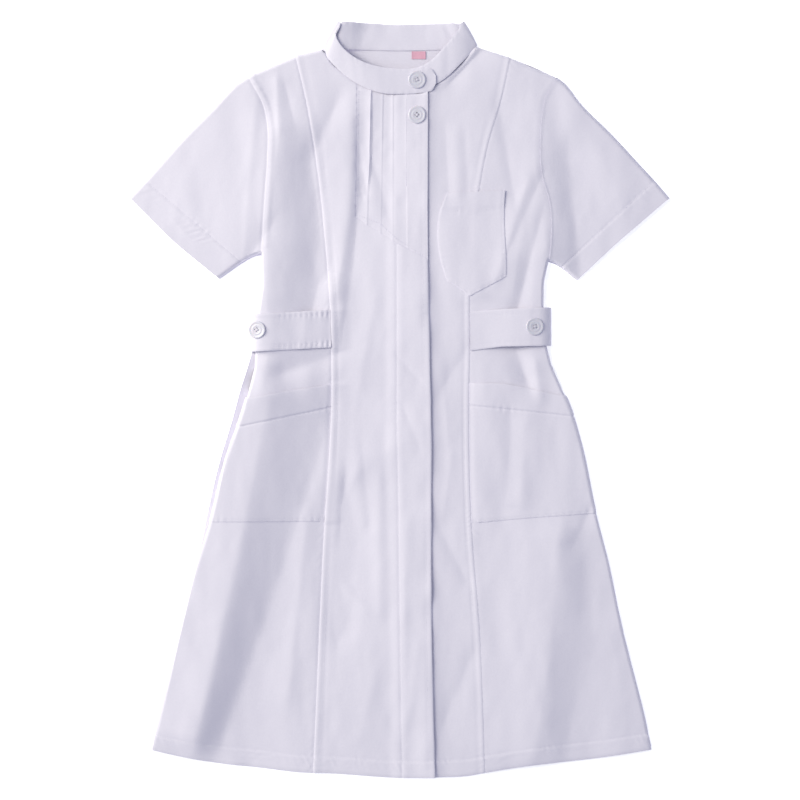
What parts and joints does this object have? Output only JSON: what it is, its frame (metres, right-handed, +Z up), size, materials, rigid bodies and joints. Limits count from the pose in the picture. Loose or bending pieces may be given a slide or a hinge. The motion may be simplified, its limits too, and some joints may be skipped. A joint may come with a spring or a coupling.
{
  "type": "nurse uniform dress laid flat",
  "caption": "White short-sleeved nurse's dress laid flat, front up, with a stand collar, a tucked inset, a buttoned placket, patch pockets and buttoned belt tabs.",
  "frame": {"origin": "centre of the dress's outline, on the surface that it lies on", "axes": "+X towards the wearer's left side, +Y from hem to collar, +Z up from the surface, through the front"},
  "size_m": [0.6495, 0.9077, 0.0243],
  "materials": {
    "white_cloth": "plain-woven polyester and cotton uniform cloth, cool white, matt with a faint sheen",
    "button_white": "white four-hole shirt button, satin gloss",
    "label_pink": "woven ribbon, blank, matt"
  },
  "bodies": {
    "root": {"back": "white_cloth", "side_front_right": "white_cloth", "side_front_left": "white_cloth", "front_right": "white_cloth", "front_left": "white_cloth", "pleated_inset": "white_cloth", "sleeve_right": "white_cloth", "sleeve_left": "white_cloth", "collar": "white_cloth", "chest_pocket": "white_cloth", "hip_pocket_right": "white_cloth", "hip_pocket_left": "white_cloth", "belt_tab_right": "white_cloth", "belt_tab_left": "white_cloth", "button_collar": "button_white", "button_front": "button_white", "button_tab_right": "button_white", "button_tab_left": "button_white", "neck_label": "label_pink"}
  },
  "joints": []
}
